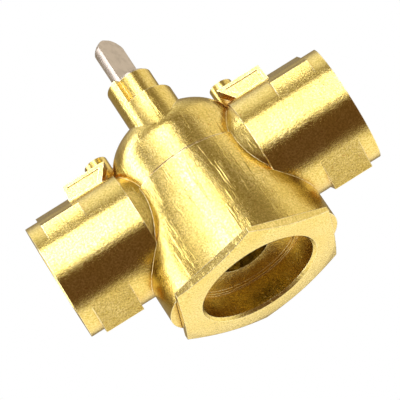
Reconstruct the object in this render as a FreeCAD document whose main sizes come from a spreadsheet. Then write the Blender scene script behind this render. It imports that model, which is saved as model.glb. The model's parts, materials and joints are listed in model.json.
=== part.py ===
import FreeCAD, Part
import os
import Sketcher

# Three-way zone valve, without its actuator, in millimetres.
# Origin: centre of the bottom hex face. +Z runs up the stem, +X along the run, -Y is the stem side.
# Forged brass body, bottom fitting without its threads, and a stem that swings a rubber ball
# between two seats.

DIMENSIONS = [
    # run and side ports
    ("run_level", 30.5), ("run_half", 46.0), ("port_rad", 17.0), ("port_flat", 16.83),
    ("socket_rad", 12.1), ("socket_deep", 15.0), ("mouth_bevel", 0.8),
    ("pad_start", 30.3), ("pad_end", 42.0), ("pad_side_wide", 16.28), ("pad_side_high", 9.4),
    ("pad_foot_wide", 16.34), ("pad_foot_high", 4.69), ("pad_peak", 20.0),
    ("keel_wide", 8.95), ("keel_high", 14.45),
    # drum-shaped lower body and the dome over it
    ("body_foot", 3.0), ("core_rad", 19.4), ("core_upper_rad", 19.2), ("ring_line", 35.5),
    ("shoulder_low", 43.1), ("dome_rad", 8.1), ("dome_top", 54.5), ("shoulder_round", 11.3),
    ("drum_wide", 26.0), ("drum_top_wide", 20.2), ("drum_flare_top", 12.5), ("drum_overlap", 2.0),
    ("ring_groove_rad", 18.95), ("ring_groove_high", 0.4),
    # neck and roots of the side ports
    ("neck_rad", 12.5), ("neck_half", 20.0),
    ("barrel_start", 18.3), ("root_start", 12.5), ("root_end", 19.2), ("root_rad", 13.4),
    ("root_end_rad", 16.75),
    # stem boss and its key
    ("stem_back", 10.8), ("boss_rad", 7.8), ("boss_foot", 40.0), ("boss_step", 56.9),
    ("boss_neck_rad", 5.6), ("boss_top", 64.8), ("key_arc", 112.0), ("key_turn", 124.0),
    # actuator dovetail lugs and posts
    ("lug_half", 5.4), ("lug_base", 42.0), ("lug_low", 46.4), ("lug_top", 51.9),
    ("lug_out_low", 31.9), ("lug_out_top", 31.3), ("lug_in_low", 21.8), ("lug_in_top", 18.0),
    ("lug_border", 1.0), ("lug_inner_border", 2.2), ("lug_recess", 0.4),
    ("post_out", 20.15), ("post_back", 2.0), ("post_rad", 3.4), ("post_top", 55.9),
    # inside of the body
    ("chamber_rad", 15.5), ("chamber_top", 44.0), ("counter_rad", 18.15), ("counter_top", 11.5),
    ("stem_pocket_rad", 6.2), ("stem_pocket_low", 40.0), ("stem_pocket_top", 44.5),
    ("bush_seat_rad", 6.0), ("bush_top", 50.5), ("boss_bore_rad", 4.86),
    # seats
    ("seat_side", 0.5), ("seat_start", 11.0), ("seat_end", 19.0), ("seat_rad", 8.0),
    ("seat_bore_rad", 8.05), ("seat_hole_rad", 6.2), ("seat_bevel", 0.6), ("passage_rad", 7.0),
    # bottom fitting and gasket
    ("hex_across", 46.76), ("hex_thick", 2.6), ("hex_turn", 5.5), ("hex_bevel_rad", 22.8),
    ("hex_bevel_high", 1.44), ("spigot_rad", 18.1), ("spigot_top", 11.4), ("inlet_rad", 16.9),
    ("inlet_deep", 8.0), ("ledge_rad", 15.9), ("inlet_floor", 8.8), ("orifice_rad", 7.5),
    ("gasket_in", 18.15), ("gasket_out", 19.3),
    # stem
    ("stem_rad", 4.8), ("stem_top", 80.0), ("stem_crown", 2.7), ("stem_crown_round", 5.0),
    ("stem_tip_rad", 1.0),
    ("stem_low", 23.5), ("stem_lower_rad", 3.0), ("stem_step", 44.4), ("stem_flat", 0.3),
    ("stem_flat_turn", -37.5), ("stem_flat_low", 65.6),
    ("ring_thick", 0.85), ("ring_mid_rad", 3.97), ("groove_rad", 3.1), ("groove_half", 0.95),
    ("ring_low", 54.0), ("ring_high", 60.5),
    # stem retention
    ("washer_low", 43.5), ("washer_top", 44.3), ("washer_rad", 5.9), ("washer_hole_rad", 3.05),
    ("clip_low", 42.7), ("clip_top", 43.3), ("clip_rad", 4.4), ("clip_groove_rad", 2.4),
    ("clip_gap", 2.2), ("clip_play", 0.05), ("clip_bore_play", 0.02),
    # swinging paddle
    ("hub_rad", 4.4), ("hub_low", 24.5), ("hub_top", 36.5), ("hub_bore_rad", 3.05),
    ("arm_half_wide", 2.2), ("arm_half_high", 3.0), ("arm_reach", 15.6), ("ball_reach", 12.3),
    ("ball_rad", 7.3), ("slot_gap", 0.05), ("pin_rad", 0.9), ("pin_hole_rad", 0.95), ("pin_half", 4.3),
    ("rivet_rad", 1.2), ("rivet_hole_rad", 1.25), ("rivet_head_rad", 2.2), ("rivet_head_high", 0.7),
    ("ball_flat", 6.6), ("plug_washer_rad", 2.8), ("plug_washer_thick", 0.5),
    # how far a cutting shape runs past the face it opens
    ("past_face", 1.0),
]

doc = FreeCAD.newDocument("zone_valve")
sheet = doc.addObject("Spreadsheet::Sheet", "Dims")
for row, (alias, value) in enumerate(DIMENSIONS, start=1):
    sheet.set(f"A{row}", alias)
    sheet.set(f"B{row}", str(value))
    sheet.setAlias(f"B{row}", alias)
gauge = doc.addObject("App::FeaturePython", "Gauge")
gauge.addProperty("App::PropertyFloat", "Reading")
doc.recompute()

ALIASES = sorted((alias for alias, _ in DIMENSIONS), key=len, reverse=True)
TINY = 1e-9
FULL_TURN = 360
HALF_TURN = 180
QUARTER_TURN = 90
HEX_SIDES = 6
HALF_SIDE_TURN = HALF_TURN / HEX_SIDES
HEX_REACH = f"hex_across / 2 / cos({HALF_SIDE_TURN} deg)"
TURN_TO = {
    "Z": FreeCAD.Rotation(),
    "-Z": FreeCAD.Rotation(FreeCAD.Vector(1, 0, 0), HALF_TURN),
    "X": FreeCAD.Rotation(FreeCAD.Vector(0, 1, 0), QUARTER_TURN),
    "-X": FreeCAD.Rotation(FreeCAD.Vector(0, 1, 0), -QUARTER_TURN),
}
STEM_LINE = ("0", "-stem_back")
PIN_LEVEL = "(hub_low + run_level - arm_half_high) / 2"
SIDES = (("a", -1), ("b", 1))


def spell(text):
    """A formula in dimension names, as the sheet's own expression."""
    words = "".join(c if c.isalnum() or c == "_" else " " for c in text).split()
    for word in sorted(set(words), key=len, reverse=True):
        if word in ALIASES:
            text = " ".join(text.split())
            text = replace_word(text, word, "Dims." + word)
    return text


def replace_word(text, word, new):
    """Replace whole words only, so that a short alias never changes a longer one."""
    out, i = "", 0
    while i < len(text):
        ahead = text[i:i + len(word)]
        before = out[-1] if out else " "
        after = text[i + len(word)] if i + len(word) < len(text) else " "
        whole = not (before.isalnum() or before in "_.") and not (after.isalnum() or after == "_")
        if ahead == word and whole:
            out += new
            i += len(word)
        else:
            out += text[i]
            i += 1
    return out


def size(text):
    """The number that a formula in dimension names gives now, read off the gauge object."""
    gauge.setExpression("Reading", spell(text))
    gauge.recompute()
    return gauge.Reading


def bind(obj, prop, text):
    obj.setExpression(prop, spell(text))


def new_body(label):
    body = doc.addObject("PartDesign::Body", label)
    body.Label = label
    return body


def origin_plane(body, role):
    return next(f for f in body.Origin.OriginFeatures if f.Role == role)


def sketch_on(body, name, role, offset="0"):
    sketch = body.newObject("Sketcher::SketchObject", name)
    sketch.AttachmentSupport = (origin_plane(body, role), [""])
    sketch.MapMode = "FlatFace"
    bind(sketch, ".AttachmentOffset.Base.z", offset)
    return sketch


def pin_point(sketch, edge, end, corner):
    """Hold one end of an edge at the corner's two formulas."""
    for kind, axis, text in (("DistanceX", -2, corner[0]), ("DistanceY", -1, corner[1])):
        value = size(text)
        if abs(value) < TINY:
            sketch.addConstraint(Sketcher.Constraint("PointOnObject", edge, end, axis))
        else:
            number = sketch.addConstraint(Sketcher.Constraint(kind, -1, 1, edge, end, value))
            bind(sketch, f"Constraints[{number}]", text)


def outline(sketch, corners):
    """Closed outline; a corner with a third formula starts an arc of that radius, turning left."""
    points = [FreeCAD.Vector(size(c[0]), size(c[1]), 0) for c in corners]
    for edge, corner in enumerate(corners):
        here, there = points[edge], points[(edge + 1) % len(points)]
        if len(corner) == 2:
            sketch.addGeometry(Part.LineSegment(here, there))
            continue
        chord = there - here
        rise = size(corner[2]) - (size(corner[2]) ** 2 - chord.Length ** 2 / 4) ** 0.5
        outward = FreeCAD.Vector(chord.y, -chord.x, 0).normalize()
        sketch.addGeometry(Part.Arc(here, here + chord * 0.5 + outward * rise, there))
        number = sketch.addConstraint(Sketcher.Constraint("Radius", edge, size(corner[2])))
        bind(sketch, f"Constraints[{number}]", corner[2])
    for edge, corner in enumerate(corners):
        sketch.addConstraint(Sketcher.Constraint("Coincident", edge, 2, (edge + 1) % len(corners), 1))
        pin_point(sketch, edge, 1, corner)


def turned(body, name, corners, centre=("0", "0"), cut=False):
    """A solid of revolution about a vertical line, from (radius, height) corners."""
    sketch = sketch_on(body, name + "_profile", "XZ_Plane")
    outline(sketch, corners)
    bind(sketch, ".AttachmentOffset.Base.x", centre[0])
    bind(sketch, ".AttachmentOffset.Base.z", "-1 * (" + centre[1] + ")")
    feature = body.newObject("PartDesign::Groove" if cut else "PartDesign::Revolution", name)
    feature.Profile = (sketch, [""])
    feature.ReferenceAxis = (sketch, ["V_Axis"])
    feature.Angle = FULL_TURN
    return feature


def prism(body, name, role, corners, start, length, cut=False):
    """A straight prism on a plane, from start along the plane's normal for length."""
    sketch = sketch_on(body, name + "_outline", role, start)
    outline(sketch, corners)
    feature = body.newObject("PartDesign::Pocket" if cut else "PartDesign::Pad", name)
    feature.Profile = (sketch, [""])
    feature.Reversed = cut
    bind(feature, "Length", length)
    return feature


def round_bar(body, name, radius, length, start, axis="Z", cut=False, arc=None, turn=None):
    """A round bar, hole or sector from a start point along an axis."""
    kind = "PartDesign::SubtractiveCylinder" if cut else "PartDesign::AdditiveCylinder"
    bar = body.newObject(kind, name)
    bar.Placement = FreeCAD.Placement(FreeCAD.Vector(), TURN_TO[axis])
    if turn:
        bar.Placement = FreeCAD.Placement(
            FreeCAD.Vector(), FreeCAD.Rotation(FreeCAD.Vector(0, 0, 1), size(turn)))
        bind(bar, "Angle", arc)
    place(bar, start)
    bind(bar, "Radius", radius)
    bind(bar, "Height", length)
    return bar


def round_taper(body, name, radius, end_radius, length, start, axis="Z", cut=True):
    """A cone-shaped cut, such as the bevel at the mouth of a hole, or a tapered bar."""
    cone = body.newObject("PartDesign::SubtractiveCone" if cut else "PartDesign::AdditiveCone", name)
    cone.Placement = FreeCAD.Placement(FreeCAD.Vector(), TURN_TO[axis])
    place(cone, start)
    bind(cone, "Radius1", radius)
    bind(cone, "Radius2", end_radius)
    bind(cone, "Height", length)
    return cone


def block(body, name, low, sizes, cut=False):
    """A box with its low corner at a point."""
    box = body.newObject("PartDesign::SubtractiveBox" if cut else "PartDesign::AdditiveBox", name)
    place(box, low)
    for prop, text in zip(("Length", "Width", "Height"), sizes):
        bind(box, prop, text)
    return box


def place(feature, point):
    for axis, text in zip("xyz", point):
        bind(feature, f".Placement.Base.{axis}", text)


def mirrored_corners(corners):
    """The same outline on the other side of the middle, still turning left."""
    return [(f"-1 * ({c[0]})", c[1]) for c in reversed(corners)]


def ellipse_sketch(body, name, level, half_wide, half_deep):
    """A level ellipse about the middle, its ends held on the two axes."""
    sketch = sketch_on(body, name, "XY_Plane", level)
    wide, deep = size(half_wide), size(half_deep)
    ellipse = Part.Ellipse(FreeCAD.Vector(wide, 0, 0), FreeCAD.Vector(0, deep, 0), FreeCAD.Vector())
    sketch.addGeometry(ellipse)
    sketch.exposeInternalGeometry(0)
    sketch.addConstraint(Sketcher.Constraint("Coincident", 0, 3, -1, 1))
    pin_point(sketch, 1, 1, (half_wide, "0"))
    number = sketch.addConstraint(Sketcher.Constraint("DistanceY", -1, 1, 2, 1, deep))
    bind(sketch, f"Constraints[{number}]", half_deep)
    return sketch


def add_drum(body):
    """Lower body: an ellipse in plan, wide at the foot and narrower at the ring line."""
    rings = [ellipse_sketch(body, "drum_foot", "body_foot", "drum_wide", "core_rad"),
             ellipse_sketch(body, "drum_flare", "drum_flare_top", "drum_wide", "core_rad"),
             ellipse_sketch(body, "drum_ring_line", "ring_line", "drum_top_wide", "core_rad")]
    loft = body.newObject("PartDesign::AdditiveLoft", "drum")
    loft.Profile = (rings[0], [""])
    loft.Sections = [(ring, [""]) for ring in rings[1:]]
    loft.Ruled = True


def add_dome(body):
    turned(body, "dome", [
        ("0", "ring_line - drum_overlap"), ("core_upper_rad", "ring_line - drum_overlap"),
        ("core_upper_rad", "shoulder_low", "shoulder_round"), ("dome_rad", "dome_top"), ("0", "dome_top")])


def cut_ring_line(body):
    """A fine groove where the drum meets the dome."""
    turned(body, "ring_groove", [
        ("ring_groove_rad", "ring_line - ring_groove_high"), ("drum_wide", "ring_line - ring_groove_high"),
        ("drum_wide", "ring_line"), ("ring_groove_rad", "ring_line")], cut=True)


def add_barrels(body):
    """The side ports' barrels, flat along their front and back, on a neck with tapered roots."""
    round_bar(body, "neck", "neck_rad", "2 * neck_half", ("-1 * neck_half", "0", "run_level"), "X")
    rise = "sqrt(port_rad ^ 2 - port_flat ^ 2)"
    section = [
        ("port_flat", f"run_level + {rise}", "port_rad"),
        ("-1 * port_flat", f"run_level + {rise}"),
        ("-1 * port_flat", f"run_level - {rise}", "port_rad"),
        ("port_flat", f"run_level - {rise}")]
    for tag, sign in SIDES:
        round_taper(body, "root_" + tag, "root_rad", "root_end_rad", "root_end - root_start",
                    (f"{sign} * root_start", "0", "run_level"), "X" if sign > 0 else "-X", cut=False)
        start = "barrel_start" if sign > 0 else "-1 * run_half"
        prism(body, "barrel_" + tag, "YZ_Plane", section, start, "run_half - barrel_start")


def add_pad(body, tag, sign):
    """The wrench flats near a side port's rim, with a keel below."""
    start = "pad_start" if sign > 0 else "-1 * pad_end"
    prism(body, "pad_" + tag, "YZ_Plane", [
        ("pad_foot_wide", "run_level + pad_foot_high"),
        ("pad_side_wide", "run_level + pad_side_high"),
        ("0", "run_level + pad_peak"),
        ("-1 * pad_side_wide", "run_level + pad_side_high"),
        ("-1 * pad_foot_wide", "run_level + pad_foot_high"),
        ("-1 * keel_wide", "run_level - keel_high"),
        ("0", "run_level - pad_peak"),
        ("keel_wide", "run_level - keel_high")], start, "pad_end - pad_start")


def add_boss(body):
    round_bar(body, "boss", "boss_rad", "boss_step - boss_foot", STEM_LINE + ("boss_foot",))
    round_bar(body, "boss_neck", "boss_neck_rad", "boss_top - boss_foot", STEM_LINE + ("boss_foot",))
    round_bar(body, "boss_key", "boss_rad", "boss_top - boss_foot", STEM_LINE + ("boss_foot",),
              arc="key_arc", turn="key_turn")


def add_lug(body, tag, sign):
    """Dovetail lug with an undercut inner edge and a recessed front panel, and its round post."""
    lug = [("lug_in_low", "lug_base"), ("lug_out_low", "lug_base"), ("lug_out_low", "lug_low"),
           ("lug_out_top", "lug_top"), ("lug_in_top", "lug_top"), ("lug_in_low", "lug_low")]
    panel = [("lug_in_low + lug_border", "lug_low + lug_border"),
             ("lug_out_low - lug_border", "lug_low + lug_border"),
             ("lug_out_top - lug_border", "lug_top - lug_border"),
             ("lug_in_top + lug_inner_border", "lug_top - lug_border")]
    if sign < 0:
        lug, panel = mirrored_corners(lug), mirrored_corners(panel)
    prism(body, "lug_" + tag, "XZ_Plane", lug, "-1 * lug_half", "2 * lug_half")
    round_bar(body, "post_" + tag, "post_rad", "post_top - lug_base",
              (f"{sign} * post_out", "post_back", "lug_base"))
    prism(body, "lug_panel_" + tag, "XZ_Plane", panel, "lug_half - lug_recess", "2 * lug_recess",
          cut=True)


def cut_inside(body):
    round_bar(body, "counterbore", "counter_rad", "counter_top - body_foot + past_face",
              ("0", "0", "body_foot - past_face"), cut=True)
    round_bar(body, "chamber", "chamber_rad", "chamber_top - body_foot", ("0", "0", "body_foot"), cut=True)
    round_bar(body, "stem_pocket", "stem_pocket_rad", "stem_pocket_top - stem_pocket_low",
              STEM_LINE + ("stem_pocket_low",), cut=True)
    round_bar(body, "bushing_seat", "bush_seat_rad", "bush_top - stem_pocket_low",
              STEM_LINE + ("stem_pocket_low",), cut=True)
    round_bar(body, "stem_bore", "boss_bore_rad", "boss_top - stem_pocket_low + past_face",
              STEM_LINE + ("stem_pocket_low",), cut=True)


def cut_port(body, tag, sign):
    axis, back = ("X", "-X") if sign > 0 else ("-X", "X")
    side = ("-1 * seat_side", "run_level")
    round_bar(body, "socket_" + tag, "socket_rad", "socket_deep + past_face",
              (f"{sign} * (run_half - socket_deep)", "0", "run_level"), axis, cut=True)
    round_taper(body, "mouth_" + tag, "socket_rad + mouth_bevel", "socket_rad", "mouth_bevel",
                (f"{sign} * run_half", "0", "run_level"), back)
    round_bar(body, "seat_bore_" + tag, "seat_bore_rad", "seat_end - seat_start",
              (f"{sign} * seat_start",) + side, axis, cut=True)
    round_bar(body, "passage_" + tag, "passage_rad", "run_half - socket_deep - seat_start + past_face",
              (f"{sign} * seat_start",) + side, axis, cut=True)


def make_valve_body():
    body = new_body("valve_body")
    add_drum(body)
    add_dome(body)
    cut_ring_line(body)
    add_barrels(body)
    for tag, sign in SIDES:
        add_pad(body, tag, sign)
    add_boss(body)
    for tag, sign in SIDES:
        add_lug(body, tag, sign)
    cut_inside(body)
    for tag, sign in SIDES:
        cut_port(body, tag, sign)
    return body


def hex_corners():
    """Corners of the hexagon, turned a little from square to the run."""
    corners = []
    for k in range(HEX_SIDES):
        angle = f"(hex_turn + {HALF_SIDE_TURN * (2 * k + 1)}) * 1 deg"
        reach = HEX_REACH
        corners.append((f"{reach} * cos({angle})", f"{reach} * sin({angle})"))
    return corners


def make_bottom_port_fitting():
    """Hex-headed fitting screwed up into the body, with the bottom port's socket in it."""
    body = new_body("bottom_port_fitting")
    prism(body, "hex_head", "XY_Plane", hex_corners(), "0", "hex_thick")
    corner_rad = HEX_REACH + " + past_face"
    turned(body, "hex_bevel", [
        ("hex_bevel_rad", "0"), ("hex_bevel_rad", "-1 * past_face"), (corner_rad, "-1 * past_face"),
        (corner_rad, "hex_bevel_high")], cut=True)
    round_bar(body, "spigot", "spigot_rad", "spigot_top", ("0", "0", "0"))
    round_bar(body, "inlet", "inlet_rad", "inlet_deep + past_face", ("0", "0", "-1 * past_face"),
              cut=True)
    round_taper(body, "inlet_mouth", "inlet_rad + mouth_bevel", "inlet_rad", "mouth_bevel", ("0", "0", "0"))
    round_bar(body, "ledge", "ledge_rad", "inlet_floor", ("0", "0", "0"), cut=True)
    round_bar(body, "orifice", "orifice_rad", "spigot_top + past_face", ("0", "0", "0"), cut=True)
    return body


def make_ring(label, inner, outer, low, high, centre=("0", "0")):
    """A flat ring about a vertical line."""
    body = new_body(label)
    turned(body, label + "_ring", [(inner, low), (outer, low), (outer, high), (inner, high)], centre)
    return body


def make_seat_ring(tag, sign):
    """Pressed-in seat ring with a bevelled face towards the ball."""
    body = new_body("seat_ring_" + tag)
    axis = "X" if sign > 0 else "-X"
    start = (f"{sign} * seat_start", "-1 * seat_side", "run_level")
    round_bar(body, "seat_outer_" + tag, "seat_rad", "seat_end - seat_start", start, axis)
    round_bar(body, "seat_hole_" + tag, "seat_hole_rad", "seat_end - seat_start", start, axis, cut=True)
    round_taper(body, "seat_bevel_" + tag, "seat_hole_rad + seat_bevel", "seat_hole_rad", "seat_bevel",
                start, axis)
    return body


def make_stem():
    """Turned stem with a half-round drive end, two O-ring grooves, a clip groove and a pin hole."""
    body = new_body("stem")
    profile = [("0", "stem_low"), ("stem_lower_rad", "stem_low"),
               ("stem_lower_rad", "clip_low - clip_play"), ("clip_groove_rad", "clip_low - clip_play"),
               ("clip_groove_rad", "clip_top + clip_play"), ("stem_lower_rad", "clip_top + clip_play"),
               ("stem_lower_rad", "stem_step"), ("stem_rad", "stem_step")]
    for level in ("ring_low", "ring_high"):
        profile += [("stem_rad", level + " - groove_half"), ("groove_rad", level + " - groove_half"),
                    ("groove_rad", level + " + groove_half"), ("stem_rad", level + " + groove_half")]
    profile += [("stem_rad", "stem_top - stem_crown", "stem_crown_round"), ("stem_tip_rad", "stem_top"),
                ("0", "stem_top")]
    turned(body, "stem_turning", profile, STEM_LINE)
    cutter = body.newObject("PartDesign::SubtractiveBox", "drive_flat")
    turn = FreeCAD.Rotation(FreeCAD.Vector(0, 0, 1), size("stem_flat_turn"))
    cutter.Placement = FreeCAD.Placement(FreeCAD.Vector(), turn)
    cosine, sine = "cos(stem_flat_turn * 1 deg)", "sin(stem_flat_turn * 1 deg)"
    place(cutter, (f"stem_flat * {cosine} + 2 * stem_rad * {sine}",
                   f"stem_flat * {sine} - 2 * stem_rad * {cosine} - stem_back", "stem_flat_low"))
    for prop, text in (("Length", "2 * stem_rad"), ("Width", "4 * stem_rad"), ("Height", "stem_top")):
        bind(cutter, prop, text)
    round_bar(body, "stem_pin_hole", "pin_hole_rad", "4 * pin_half",
              ("-2 * pin_half", "-1 * stem_back", PIN_LEVEL), "X", cut=True)
    return body


def make_o_ring(label, level):
    body = new_body(label)
    ring = body.newObject("PartDesign::AdditiveTorus", label + "_ring")
    place(ring, STEM_LINE + (level,))
    bind(ring, "Radius1", "ring_mid_rad")
    bind(ring, "Radius2", "ring_thick")
    return body


def make_stem_clip():
    """Retaining clip: a flat ring with a gap, in the stem's groove."""
    body = make_ring("stem_clip", "clip_groove_rad + clip_bore_play", "clip_rad", "clip_low", "clip_top",
                     STEM_LINE)
    block(body, "clip_opening", ("-1 * clip_gap / 2", "-1 * stem_back", "clip_low - past_face"),
          ("clip_gap", "2 * clip_rad", "clip_top - clip_low + 2 * past_face"), cut=True)
    return body


def make_paddle_arm():
    """Hub pinned to the stem, with a flat arm that carries the ball."""
    body = new_body("paddle_arm")
    round_bar(body, "hub", "hub_rad", "hub_top - hub_low", STEM_LINE + ("hub_low",))
    block(body, "arm", ("-1 * arm_half_wide", "-1 * stem_back", "run_level - arm_half_high"),
          ("2 * arm_half_wide", "arm_reach", "2 * arm_half_high"))
    round_bar(body, "hub_bore", "hub_bore_rad", "stem_top", STEM_LINE + ("hub_low - past_face",), cut=True)
    round_bar(body, "hub_pin_hole", "pin_hole_rad", "4 * pin_half",
              ("-2 * pin_half", "-1 * stem_back", PIN_LEVEL), "X", cut=True)
    round_bar(body, "arm_rivet_hole", "rivet_hole_rad", "4 * arm_half_high",
              ("0", "ball_reach - stem_back", "run_level - 2 * arm_half_high"), cut=True)
    return body


def make_paddle_pin():
    body = new_body("paddle_pin")
    round_bar(body, "pin", "pin_rad", "2 * pin_half",
              ("-1 * pin_half", "-1 * stem_back", PIN_LEVEL), "X")
    return body


def make_plug_ball():
    """Rubber ball with flats for the rivet's head and washer, slotted over the arm."""
    body = new_body("plug_ball")
    ball = body.newObject("PartDesign::AdditiveSphere", "ball")
    centre = ("0", "ball_reach - stem_back", "run_level")
    place(ball, centre)
    bind(ball, "Radius", "ball_rad")
    for name, low in (("ball_top", "run_level + ball_flat"),
                      ("ball_foot", "run_level - ball_flat - ball_rad")):
        block(body, name, ("-1 * ball_rad", "ball_reach - stem_back - ball_rad", low),
              ("2 * ball_rad", "2 * ball_rad", "ball_rad"), cut=True)
    block(body, "arm_slot",
          ("-1 * arm_half_wide - slot_gap", "-1 * stem_back", "run_level - arm_half_high - slot_gap"),
          ("2 * arm_half_wide + 2 * slot_gap", "arm_reach + slot_gap", "2 * arm_half_high + 2 * slot_gap"),
          cut=True)
    round_bar(body, "ball_rivet_hole", "rivet_hole_rad", "4 * ball_rad",
              (centre[0], centre[1], "run_level - 2 * ball_rad"), cut=True)
    return body


def make_plug_rivet():
    """Rivet down through the ball and the arm, headed at both ends."""
    body = new_body("plug_rivet")
    centre = ("0", "ball_reach - stem_back")
    top, foot = "(run_level + ball_flat)", "(run_level - ball_flat - plug_washer_thick)"
    turned(body, "rivet", [
        ("0", foot + " - rivet_head_high"), ("rivet_head_rad", foot + " - rivet_head_high"),
        ("rivet_head_rad", foot), ("rivet_rad", foot), ("rivet_rad", top), ("rivet_head_rad", top),
        ("rivet_head_rad", top + " + rivet_head_high"), ("0", top + " + rivet_head_high")], centre)
    return body


def make_parts():
    parts = [make_valve_body(), make_bottom_port_fitting(),
             make_ring("fitting_gasket", "gasket_in", "gasket_out", "hex_thick", "body_foot")]
    parts += [make_seat_ring(tag, sign) for tag, sign in SIDES]
    parts += [
        make_ring("stem_bushing", "boss_bore_rad", "bush_seat_rad", "stem_pocket_top", "bush_top",
                  STEM_LINE),
        make_stem(), make_o_ring("stem_o_ring_lower", "ring_low"),
        make_o_ring("stem_o_ring_upper", "ring_high"),
        make_ring("thrust_washer", "washer_hole_rad", "washer_rad", "washer_low", "washer_top", STEM_LINE),
        make_stem_clip(), make_paddle_arm(), make_paddle_pin(), make_plug_ball(), make_plug_rivet(),
        make_ring("plug_washer", "rivet_hole_rad", "plug_washer_rad",
                  "run_level - ball_flat - plug_washer_thick", "run_level - ball_flat",
                  ("0", "ball_reach - stem_back"))]
    return parts


def check_features():
    """Stop on any failed feature, and on any cut that took nothing away."""
    for obj in doc.Objects:
        if "Invalid" in obj.State or "Error" in obj.State:
            raise RuntimeError(f"{obj.Name} did not compute: {obj.State}")
        cuts = obj.TypeId.startswith("PartDesign::Subtractive")
        cuts = cuts or obj.TypeId in ("PartDesign::Pocket", "PartDesign::Groove")
        if cuts and not obj.Shape.Volume < obj.BaseFeature.Shape.Volume - TINY:
            raise RuntimeError(f"{obj.Name} cut nothing")


def export(parts):
    os.makedirs("parts", exist_ok=True)
    for part in parts:
        if part.Shape.isNull() or not part.Shape.isValid():
            raise RuntimeError(f"{part.Label} has no valid shape")
        print(f"{part.Label}: {len(part.Shape.Solids)} solid, {part.Shape.Volume:.1f} mm3")
        part.Shape.exportStep(f"parts/{part.Label}.step")


all_parts = make_parts()
doc.recompute()
check_features()
export(all_parts)
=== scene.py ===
import json
import math

import bmesh
import bpy
from mathutils import Matrix, Vector


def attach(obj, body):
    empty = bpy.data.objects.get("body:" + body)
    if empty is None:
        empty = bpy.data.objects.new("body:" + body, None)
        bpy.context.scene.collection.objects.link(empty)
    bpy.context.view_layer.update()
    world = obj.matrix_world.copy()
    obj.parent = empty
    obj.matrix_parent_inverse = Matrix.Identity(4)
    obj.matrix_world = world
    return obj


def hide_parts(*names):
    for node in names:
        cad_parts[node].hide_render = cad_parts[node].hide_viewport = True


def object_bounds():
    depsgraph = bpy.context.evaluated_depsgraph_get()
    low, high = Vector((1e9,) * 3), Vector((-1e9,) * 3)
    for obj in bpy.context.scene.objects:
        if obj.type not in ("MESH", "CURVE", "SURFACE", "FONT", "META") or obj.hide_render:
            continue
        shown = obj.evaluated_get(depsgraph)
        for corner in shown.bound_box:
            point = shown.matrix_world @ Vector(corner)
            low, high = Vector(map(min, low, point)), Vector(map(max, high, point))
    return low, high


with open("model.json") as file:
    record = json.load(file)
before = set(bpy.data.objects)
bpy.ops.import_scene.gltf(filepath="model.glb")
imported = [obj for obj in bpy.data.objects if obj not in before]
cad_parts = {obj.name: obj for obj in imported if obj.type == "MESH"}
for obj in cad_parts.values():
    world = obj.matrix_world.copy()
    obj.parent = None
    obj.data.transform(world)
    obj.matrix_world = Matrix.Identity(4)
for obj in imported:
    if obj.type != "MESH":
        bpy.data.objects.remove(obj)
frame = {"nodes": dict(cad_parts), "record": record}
cad_box = [list(corner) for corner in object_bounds()]

MM = 0.001
LOW, HIGH = (Vector(corner) for corner in cad_box)
RUN_LEVEL = next(m["pos_m"][2] for m in frame["record"]["mounts"] if m["name"] == "port_a")


# ---- shader building -------------------------------------------------------------------------

# The Mix node's colour sockets share their names with its number sockets, so they go by place.
MIX_FACTOR = 0
MIX_FIRST = 6
MIX_SECOND = 7
MIX_COLOUR = 2
FALLING = (1.0, 0.0)


class Shader:
    """A material or world node tree, built by short calls."""

    def __init__(self, tree):
        self.tree = tree
        self.tree.nodes.clear()

    def node(self, kind, inputs=(), **settings):
        made = self.tree.nodes.new("ShaderNode" + kind)
        for key, value in settings.items():
            setattr(made, key, value)
        for key, value in dict(inputs).items():
            if isinstance(value, bpy.types.NodeSocket):
                self.tree.links.new(value, made.inputs[key])
            else:
                made.inputs[key].default_value = value
        return made

    def math(self, operation, first, second=0.0):
        return self.node("Math", {0: first, 1: second}, operation=operation).outputs[0]

    def noise(self, where, scale, detail=3.0, roughness=0.55):
        made = self.node("TexNoise", {"Vector": where, "Scale": scale, "Detail": detail,
                                      "Roughness": roughness})
        return made.outputs["Fac"]

    def spread(self, value, span, reach=(0.0, 1.0)):
        """Map a value from one range to another, held at the ends."""
        made = self.node("MapRange", {"Value": value, "From Min": span[0], "From Max": span[1],
                                      "To Min": reach[0], "To Max": reach[1]})
        return made.outputs["Result"]

    def mix(self, factor, first, second):
        made = self.node("Mix", {MIX_FACTOR: factor, MIX_FIRST: first, MIX_SECOND: second},
                         data_type="RGBA")
        return made.outputs[MIX_COLOUR]

    def bump(self, height, distance, strength=1.0, normal=None):
        made = self.node("Bump", {"Height": height, "Distance": distance, "Strength": strength})
        if normal:
            self.tree.links.new(normal, made.inputs["Normal"])
        return made.outputs["Normal"]

    def stretched(self, where, scale):
        """The same coordinates drawn out along the axes whose scale is under 1."""
        return self.node("Mapping", {"Vector": where, "Scale": scale}).outputs["Vector"]

    def rounded(self, radius, samples):
        """The surface's normal, as if its edges had this radius."""
        return self.node("Bevel", {"Radius": radius}, samples=samples).outputs["Normal"]


def grey(value):
    return (value, value, value, 1.0)


def shade(colour, factors=(1.0, 1.0, 1.0)):
    """A colour with each channel scaled, as a full colour."""
    return (*[channel * factor for channel, factor in zip(colour, factors)], 1.0)


def new_material(name):
    material = bpy.data.materials.new(name)
    material.use_nodes = True
    return material, Shader(material.node_tree)


def finish_surface(shader, surface):
    shader.node("OutputMaterial", {"Surface": surface.outputs[0]})


# ---- brass -----------------------------------------------------------------------------------

# Noise scales are in cycles per metre. A span is the stretch of a value that a change runs over.
EDGE_RADIUS = 0.22 * MM
EDGE_SAMPLES = 4

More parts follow.
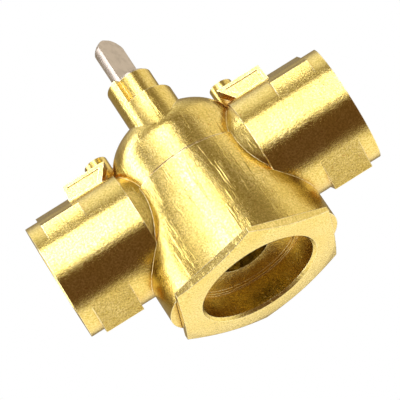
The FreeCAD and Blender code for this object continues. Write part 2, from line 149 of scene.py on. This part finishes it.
WEAR_RADIUS = 0.45 * MM
WEAR_SAMPLES = 6
WEAR_SPAN = (0.90, 0.99)
WEAR_PATCHES = {"scale": 700.0}
WEAR_PATCH_SPAN = (0.35, 0.6)
WEAR_PATCH_REACH = (0.25, 1.0)
WORN_COLOUR = (0.98, 0.92, 0.66, 1.0)

DRIFT = {"scale": 90.0, "detail": 4.0}
DRIFT_SPAN = (0.35, 0.65)
DRIFT_FACTORS = (0.93, 0.88, 0.66)
FLECKS = {"scale": 1900.0, "roughness": 0.7}
FLECK_SPAN = (0.38, 0.62)
FLECK_FACTORS = (0.70, 0.66, 0.40)
PITS = {"scale": 1400.0, "detail": 2.0}
PIT_SPAN = (0.64, 0.72)
PIT_STRENGTH = 0.5
# Painted shade: these set how ambient occlusion darkens the recesses towards the pit-and-shade colour.
RECESS_SHADE_DISTANCE = 5 * MM
RECESS_SHADE_SAMPLES = 8
RECESS_SHADE_SPAN = (0.15, 0.75)
RECESS_SHADE_REACH = (0.75, 0.0)
POLISH = {"scale": 320.0}
POLISH_SPAN = (0.3, 0.7)

SWELL = {"scale": 120.0, "detail": 2.0}
GRAIN = {"scale": 1500.0, "detail": 5.0, "roughness": 0.8}
GRAIN_STRENGTH = 0.55
DRUM_EDGE_SPAN = (17 * MM, 20 * MM)
DRUM_REACH = (1.0, 0.15)
DRAWN_STRETCH = (1.0, 1.0, 0.10)
DRAWN = {"scale": 520.0, "roughness": 0.6}
DRAWN_SPAN = (0.56, 0.74)
DRAWN_STRENGTH = 0.8

LATHE_RINGS = {"Scale": 900.0, "Distortion": 0.6, "Detail": 2.0, "Detail Scale": 3.0}
LEVEL_SPAN = (0.9, 0.95)
SCUFF_STRETCH = (1.0, 0.07, 1.0)
SCUFFS = {"scale": 900.0}
SCUFF_SPAN = (0.60, 0.72)
SCUFF_STRENGTH = 0.7


def worn_edges(sh, where):
    """How far each point is rubbed bright: most on sharp edges, and in patches."""
    wide = sh.rounded(WEAR_RADIUS, WEAR_SAMPLES)
    true = sh.node("NewGeometry").outputs["Normal"]
    turn_away = sh.node("VectorMath", {0: wide, 1: true}, operation="DOT_PRODUCT").outputs["Value"]
    patchy = sh.spread(sh.noise(where, **WEAR_PATCHES), WEAR_PATCH_SPAN, WEAR_PATCH_REACH)
    return sh.math("MULTIPLY", sh.spread(turn_away, WEAR_SPAN, FALLING), patchy)


def brass_colour(sh, where, tint, pit_and_shade):
    """The tint with slow drift, flecks and pits, painted shade darkening the recesses, and bright on
    worn edges.
    """
    drift = sh.spread(sh.noise(where, **DRIFT), DRIFT_SPAN)
    colour = sh.mix(drift, shade(tint), shade(tint, DRIFT_FACTORS))
    flecks = sh.spread(sh.noise(where, **FLECKS), FLECK_SPAN)
    colour = sh.mix(flecks, colour, shade(tint, FLECK_FACTORS))
    pits = sh.spread(sh.noise(where, **PITS), PIT_SPAN)
    colour = sh.mix(sh.math("MULTIPLY", pits, PIT_STRENGTH), colour, shade(pit_and_shade))
    # Painted shade: ambient occlusion darkens the recesses towards the same colour the pits use.
    open_sky = sh.node("AmbientOcclusion", {"Distance": RECESS_SHADE_DISTANCE}, samples=RECESS_SHADE_SAMPLES)
    recess_shade = sh.spread(open_sky.outputs["AO"], RECESS_SHADE_SPAN, RECESS_SHADE_REACH)
    colour = sh.mix(recess_shade, colour, shade(pit_and_shade))
    return sh.mix(worn_edges(sh, where), colour, WORN_COLOUR)


def surface_relief(sh, where, grain, swell):
    """Slow swell and blasted grain all over, and streaks down the drum that are faint beyond it."""
    normal = sh.bump(sh.noise(where, **SWELL), swell, 1.0, sh.rounded(EDGE_RADIUS, EDGE_SAMPLES))
    normal = sh.bump(sh.noise(where, **GRAIN), grain, GRAIN_STRENGTH, normal)
    across = sh.node("SeparateXYZ", {"Vector": where}).outputs["X"]
    on_drum = sh.spread(sh.math("ABSOLUTE", across), DRUM_EDGE_SPAN, DRUM_REACH)
    drawn = sh.spread(sh.noise(sh.stretched(where, DRAWN_STRETCH), **DRAWN), DRAWN_SPAN)
    return sh.bump(sh.math("MULTIPLY", drawn, on_drum), grain, DRAWN_STRENGTH, normal)


def turned_relief(sh, where, grain, ring_depth, normal):
    """Lathe rings on the level faces, and scuffs."""
    rings = sh.node("TexWave", {"Vector": where, **LATHE_RINGS}, wave_type="RINGS",
                    rings_direction="Z")
    facing = sh.node("SeparateXYZ", {"Vector": sh.node("NewGeometry").outputs["True Normal"]})
    level = sh.spread(sh.math("ABSOLUTE", facing.outputs["Z"]), LEVEL_SPAN)
    normal = sh.bump(sh.math("MULTIPLY", rings.outputs["Fac"], level), ring_depth, 1.0, normal)
    scuffs = sh.spread(sh.noise(sh.stretched(where, SCUFF_STRETCH), **SCUFFS), SCUFF_SPAN)
    return sh.bump(scuffs, grain, SCUFF_STRENGTH, normal)


# The pit-and-shade colour darkens the pits and is also the painted shade in recesses.
def brass(name, tint, pit_and_shade, polish, grain, swell, ring_depth=0.0):
    """Brass: polish is its range of roughness, and a ring depth adds lathe rings and scuffs."""
    material, sh = new_material(name)
    where = sh.node("TexCoord").outputs["Object"]
    colour = brass_colour(sh, where, tint, pit_and_shade)
    rough = sh.spread(sh.noise(where, **POLISH), POLISH_SPAN, polish)
    normal = surface_relief(sh, where, grain, swell)
    if ring_depth:
        normal = turned_relief(sh, where, grain, ring_depth, normal)
    finish_surface(sh, sh.node("BsdfPrincipled", {
        "Base Color": colour, "Metallic": 1.0, "Roughness": rough, "Normal": normal}))
    return material


# ---- steel, rubber and plastic ---------------------------------------------------------------

BRUSH_STRETCH = (1.0, 1.0, 0.06)
BRUSHING = {"scale": 4200.0, "detail": 4.0, "roughness": 0.65}
BRUSH_SPAN = (0.3, 0.7)
BRUSH_ROUGHNESS = (0.30, 0.50)
BRUSH_DEPTH = 0.02 * MM
BRUSH_STRENGTH = 0.8
STEEL_EDGE_RADIUS = 0.2 * MM
MARKS = {"scale": 420.0}
MARK_SPAN = (0.45, 0.7)
MARK_FACTORS = (0.82, 0.82, 0.82)

DUST = {"scale": 500.0, "detail": 4.0}
DUST_SPAN = (0.45, 0.75)
DUST_STRENGTH = 0.4
DUST_LIFT = 0.1
DUST_SHARE = 0.8
DUST_ROUGHENING = 0.15
MOULD_GRAIN = {"scale": 2500.0}


def steel(name, tint):
    """Satin stainless steel, brushed along the shaft, with faint handling marks."""
    material, sh = new_material(name)
    where = sh.node("TexCoord").outputs["Object"]
    brushed = sh.noise(sh.stretched(where, BRUSH_STRETCH), **BRUSHING)
    marks = sh.spread(sh.noise(where, **MARKS), MARK_SPAN)
    colour = sh.mix(marks, shade(tint), shade(tint, MARK_FACTORS))
    rough = sh.spread(brushed, BRUSH_SPAN, BRUSH_ROUGHNESS)
    normal = sh.bump(brushed, BRUSH_DEPTH, BRUSH_STRENGTH, sh.rounded(STEEL_EDGE_RADIUS, EDGE_SAMPLES))
    finish_surface(sh, sh.node("BsdfPrincipled", {
        "Base Color": colour, "Metallic": 1.0, "Roughness": rough, "Normal": normal}))
    return material


def moulded(name, tint, rough, grain):
    """Moulded rubber or plastic, with fine grain and uneven dust."""
    material, sh = new_material(name)
    where = sh.node("TexCoord").outputs["Object"]
    dust = sh.spread(sh.noise(where, **DUST), DUST_SPAN)
    dusty = (*[DUST_LIFT + DUST_SHARE * channel for channel in tint], 1.0)
    colour = sh.mix(sh.math("MULTIPLY", dust, DUST_STRENGTH), shade(tint), dusty)
    uneven = sh.spread(dust, (0.0, 1.0), (rough, rough + DUST_ROUGHENING))
    normal = sh.bump(sh.noise(where, **MOULD_GRAIN), grain)
    finish_surface(sh, sh.node("BsdfPrincipled", {
        "Base Color": colour, "Roughness": uneven, "Normal": normal}))
    return material


def make_materials():
    """One material for each of the record's slots."""
    return {
        "forged_brass": brass("forged_brass", tint=(0.88, 0.72, 0.31), pit_and_shade=(0.50, 0.22, 0.03),
                              polish=(0.08, 0.18), grain=0.10 * MM, swell=0.12 * MM),
        "turned_brass": brass("turned_brass", tint=(0.92, 0.77, 0.36), pit_and_shade=(0.52, 0.20, 0.03),
                              polish=(0.14, 0.28), grain=0.08 * MM, swell=0.06 * MM,
                              ring_depth=0.015 * MM),
        "stainless": steel("stainless", tint=(0.56, 0.50, 0.47)),
        "black_seal": moulded("black_seal", tint=(0.018, 0.018, 0.018), rough=0.55, grain=0.02 * MM),
        "white_plastic": moulded("white_plastic", tint=(0.72, 0.70, 0.65), rough=0.4,
                                 grain=0.01 * MM),
    }


# ---- skins over the CAD nodes ----------------------------------------------------------------

CREASE = math.radians(32)
WELD = 0.002 * MM
SLIVER = WELD / 4


def crisp_skin(node, slot, body, materials):
    """A welded copy of a CAD node, shaded smooth on its curves and sharp at its real creases."""
    mesh = frame["nodes"][node].data.copy()
    if "custom_normal" in mesh.attributes:
        mesh.attributes.remove(mesh.attributes["custom_normal"])
    build = bmesh.new()
    build.from_mesh(mesh)
    bmesh.ops.remove_doubles(build, verts=build.verts, dist=WELD)
    bmesh.ops.dissolve_degenerate(build, edges=build.edges, dist=SLIVER)
    for face in build.faces:
        face.smooth = True
    for edge in build.edges:
        edge.smooth = len(edge.link_faces) == 2 and edge.calc_face_angle(0.0) < CREASE
    build.to_mesh(mesh)
    build.free()
    mesh.materials.clear()
    mesh.materials.append(materials[slot])
    skin = bpy.data.objects.new(node + "_skin", mesh)
    bpy.context.collection.objects.link(skin)
    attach(skin, body)
    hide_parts(node)


def skin_nodes(materials):
    slots = {part["node"]: part["material_slot"] for part in frame["record"]["subparts"]}
    for body, nodes in frame["record"]["behaviour"]["bodies"].items():
        for node in nodes:
            crisp_skin(node, slots[node], body, materials)


# ---- studio ----------------------------------------------------------------------------------

# Soft boxes round the valve: azimuth range, elevation range, brightness, colour.
# Azimuth 0 is the front (-Y) and grows towards +X; all angles are in degrees.
SOFT_BOXES = {
    "front": ((-9, 4), (-6, 38), 4.6, (1.0, 0.99, 0.97)),
    "left": ((-92, -68), (-15, 60), 4.2, (1.0, 0.99, 0.97)),
    "right": ((58, 120), (-20, 50), 1.1, (1.0, 0.90, 0.70)),
}
EDGE_SOFTNESS = 6.0
SURROUND = (0.36, 0.29, 0.18, 1.0)
OVERHEAD = (1.3, 1.25, 1.1, 1.0)
OVERHEAD_SPAN = (50, 80)
UNDER_BACK = (1.35, 1.25, 1.0, 1.0)
UNDER_FRONT = (0.16, 0.09, 0.05, 1.0)
UNDER_TURN_SPAN = (-0.15, 0.15)
UNDER_SPAN = (-12, -2)
BACKDROP = 1.0


def inside_range(sh, angle, low, high):
    """One between two angles, falling softly to nothing outside them."""
    rise = sh.spread(angle, (low - EDGE_SOFTNESS, low))
    fall = sh.spread(angle, (high, high + EDGE_SOFTNESS), FALLING)
    return sh.math("MULTIPLY", rise, fall)


def make_world():
    """Soft studio boxes for light and reflections, and plain white where the camera looks past."""
    world = bpy.data.worlds.new("studio")
    bpy.context.scene.world = world
    world.use_nodes = True
    sh = Shader(world.node_tree)
    way = sh.node("SeparateXYZ", {"Vector": sh.node("TexCoord").outputs["Generated"]}).outputs
    ahead = sh.math("MULTIPLY", way["Y"], -1.0)
    azimuth = sh.math("DEGREES", sh.math("ARCTAN2", way["X"], ahead))
    elevation = sh.math("DEGREES", sh.math("ARCSINE", way["Z"]))
    light = sh.mix(sh.spread(elevation, OVERHEAD_SPAN), SURROUND, OVERHEAD)
    under = sh.mix(sh.spread(ahead, UNDER_TURN_SPAN), UNDER_BACK, UNDER_FRONT)
    light = sh.mix(sh.spread(elevation, UNDER_SPAN, FALLING), light, under)
    for (left, right), (low, high), bright, colour in SOFT_BOXES.values():
        inside = sh.math("MULTIPLY", inside_range(sh, azimuth, left, right),
                         inside_range(sh, elevation, low, high))
        light = sh.mix(inside, light, shade(colour, (bright, bright, bright)))
    seen = sh.node("LightPath").outputs["Is Camera Ray"]
    light = sh.mix(seen, light, grey(BACKDROP))
    background = sh.node("Background", {"Color": light, "Strength": 1.0})
    sh.node("OutputWorld", {"Surface": background.outputs[0]})


FLOOR_RUNS = 60
FLOOR_NOISE = {"scale": 3.0}
FLOOR_DARK = 0.80
FLOOR_LIGHT = 0.84
FLOOR_ROUGHNESS = 0.8


def make_floor():
    """A pale floor under the valve, seen only from above so that the low camera looks past it."""
    bpy.ops.mesh.primitive_plane_add(size=FLOOR_RUNS * (HIGH.x - LOW.x), location=(0, 0, LOW.z))
    floor = bpy.context.object
    floor.name = "studio_floor"
    material, sh = new_material("floor_paper")
    uneven = sh.noise(sh.node("TexCoord").outputs["Object"], **FLOOR_NOISE)
    tone = sh.mix(uneven, grey(FLOOR_DARK), grey(FLOOR_LIGHT))
    paper = sh.node("BsdfPrincipled", {"Base Color": tone, "Roughness": FLOOR_ROUGHNESS})
    behind = sh.node("NewGeometry").outputs["Backfacing"]
    clear = sh.node("BsdfTransparent")
    finish_surface(sh, sh.node("MixShader", {0: behind, 1: paper.outputs[0], 2: clear.outputs[0]}))
    floor.data.materials.append(material)
    floor.visible_glossy = False
    floor.visible_diffuse = False
    floor.visible_shadow = False
    floor.visible_transmission = False


KEY_SIZE = 0.5
KEY_ENERGY = 1.0
KEY_PLACE = (-0.35, -0.75, 0.55)


def make_key_light():
    """A soft lamp high on the front left, pointed at the origin."""
    lamp = bpy.data.lights.new("key", "AREA")
    lamp.size = KEY_SIZE
    lamp.energy = KEY_ENERGY
    key = bpy.data.objects.new("key", lamp)
    key.location = KEY_PLACE
    key.rotation_euler = Vector(KEY_PLACE).to_track_quat("Z", "Y").to_euler()
    bpy.context.collection.objects.link(key)


CAMERA_AWAY = 1.026
CAMERA_TURN = math.radians(3.5)
CAMERA_BELOW = math.radians(25.5)
CAMERA_FOCAL = 342.0
CAMERA_SENSOR = 36.0
CAMERA_CLIP = 100.0
CAMERA_ROLL = math.radians(33.5)
CAMERA_AIM = Vector((-1.73 * MM, 0.0, RUN_LEVEL - 1.3 * MM))


def make_camera():
    """A long lens from in front and below, rolled so that the stem leans to the upper left."""
    data = bpy.data.cameras.new("camera")
    data.lens = CAMERA_FOCAL
    data.sensor_width = CAMERA_SENSOR
    data.clip_end = CAMERA_CLIP
    camera = bpy.data.objects.new("camera", data)
    bpy.context.collection.objects.link(camera)
    out = Vector((-math.sin(CAMERA_TURN) * math.cos(CAMERA_BELOW),
                  -math.cos(CAMERA_TURN) * math.cos(CAMERA_BELOW), -math.sin(CAMERA_BELOW)))
    right = Vector((0, 0, 1)).cross(out).normalized()
    up = out.cross(right)
    rolled_up = math.sin(CAMERA_ROLL) * right + math.cos(CAMERA_ROLL) * up
    rolled_right = rolled_up.cross(out)
    turn = Matrix((rolled_right, rolled_up, out)).transposed()
    camera.matrix_world = Matrix.Translation(CAMERA_AIM + out * CAMERA_AWAY) @ turn.to_4x4()
    bpy.context.scene.camera = camera


bpy.context.scene.view_settings.view_transform = "Standard"
make_camera()
skin_nodes(make_materials())
make_world()
make_floor()
make_key_light()
